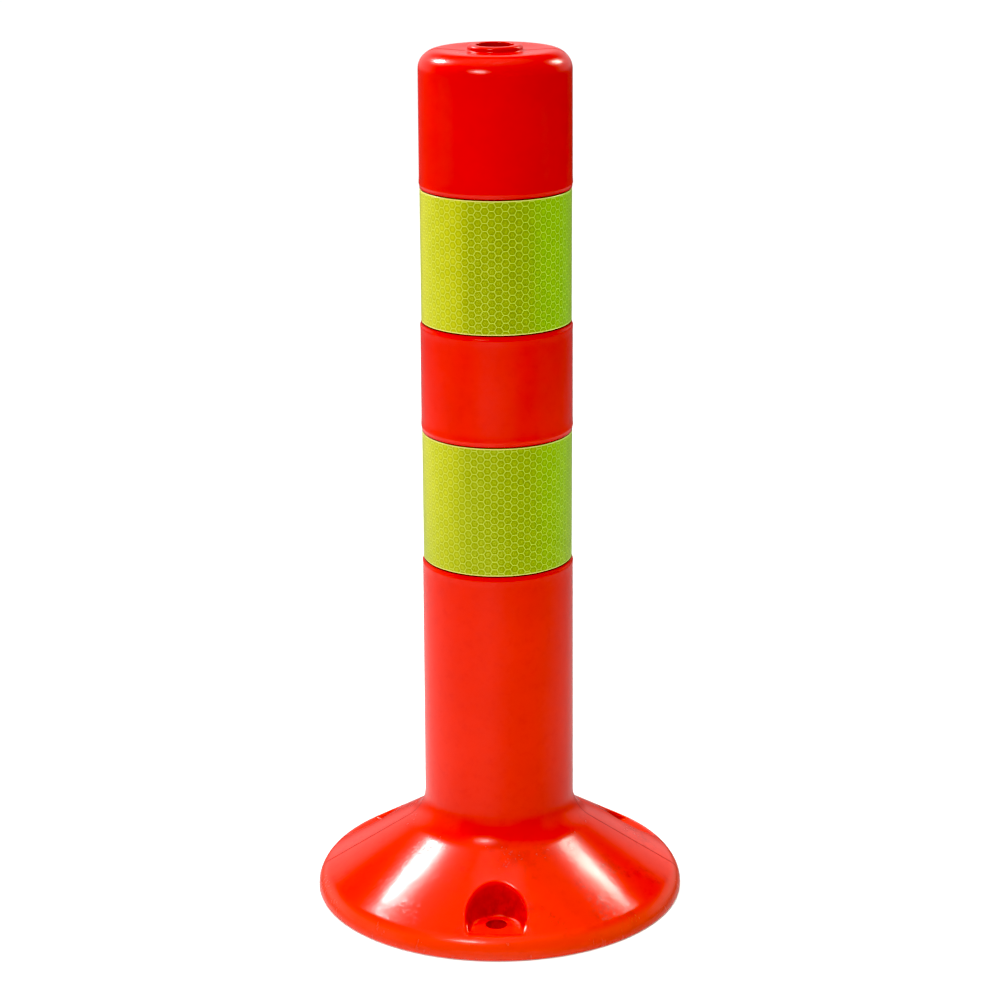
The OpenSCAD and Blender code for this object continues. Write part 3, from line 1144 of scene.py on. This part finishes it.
def studio_world():
    """Bright ground, a white wall behind the post, a soft glow overhead, and a dim room."""
    world = bpy.data.worlds.new("studio")
    world.use_nodes = True
    bpy.context.scene.world = world
    tree = world.node_tree

    def node(kind, *values, **settings):
        made = tree.nodes.new(kind)
        for key, value in settings.items():
            setattr(made, key, value)
        for socket, value in zip(made.inputs, values):
            if isinstance(value, bpy.types.NodeSocket):
                tree.links.new(value, socket)
            else:
                socket.default_value = value
        return made.outputs

    def ramp(value, start, end, at_start, at_end):
        values = (value, start, end, at_start, at_end)
        return node("ShaderNodeMapRange", *values, interpolation_type="SMOOTHSTEP")[0]

    def product(first, second):
        return node("ShaderNodeMath", first, second, operation="MULTIPLY")[0]

    def total(first, second):
        return node("ShaderNodeMath", first, second, operation="ADD")[0]

    x, y, z = node("ShaderNodeSeparateXYZ", node("ShaderNodeTexCoord")["Generated"])
    ground = product(ramp(z, -0.16, -0.42, ROOM_GLOW, GROUND_GLOW), ramp(x, -0.3, 0.3, 1.15, 0.75))
    wall = product(ramp(z, -0.15, 0.05, 0, WALL_GLOW), ramp(z, 0.3, 0.45, 1, 0))
    wall = product(wall, ramp(y, 0.05, 0.5, 0, 1))
    strength = total(total(ground, wall), ramp(z, 0.72, 0.93, 0, CEILING_GLOW))
    tree.links.new(strength, tree.nodes["Background"].inputs["Strength"])
    tree.nodes["Background"].inputs["Color"].default_value = (0.97, 0.98, 1, 1)


studio_world()

CAMERA_AZIMUTH = math.radians(1.27)
CAMERA_AT = (1.3 * MM, -1.3551, 0.6329)
CAMERA_PITCH = math.radians(16.92)
CAMERA_ROLL = math.radians(-0.315)
FOCAL_LENGTH = 95.9  # in millimetres, for a sensor 36 mm wide

lens = bpy.data.cameras.new("camera")
lens.sensor_width = 36
lens.lens = FOCAL_LENGTH
camera = bpy.data.objects.new("camera", lens)
camera.matrix_world = (
    Matrix.Rotation(CAMERA_AZIMUTH, 4, "Z")
    @ Matrix.Translation(CAMERA_AT)
    @ Matrix.Rotation(math.pi / 2 - CAMERA_PITCH, 4, "X")
    @ Matrix.Rotation(CAMERA_ROLL, 4, "Z")
)
bpy.context.scene.collection.objects.link(camera)
bpy.context.scene.camera = camera

# The photograph's levels are stretched, so its darkest and brightest tones are cut off.
BLACK, WHITE = 0.034, 0.96
view = bpy.context.scene.view_settings
view.view_transform = "Standard"
view.use_curve_mapping = True
view.curve_mapping.black_level = [BLACK] * 3
view.curve_mapping.white_level = [WHITE] * 3
view.curve_mapping.update()
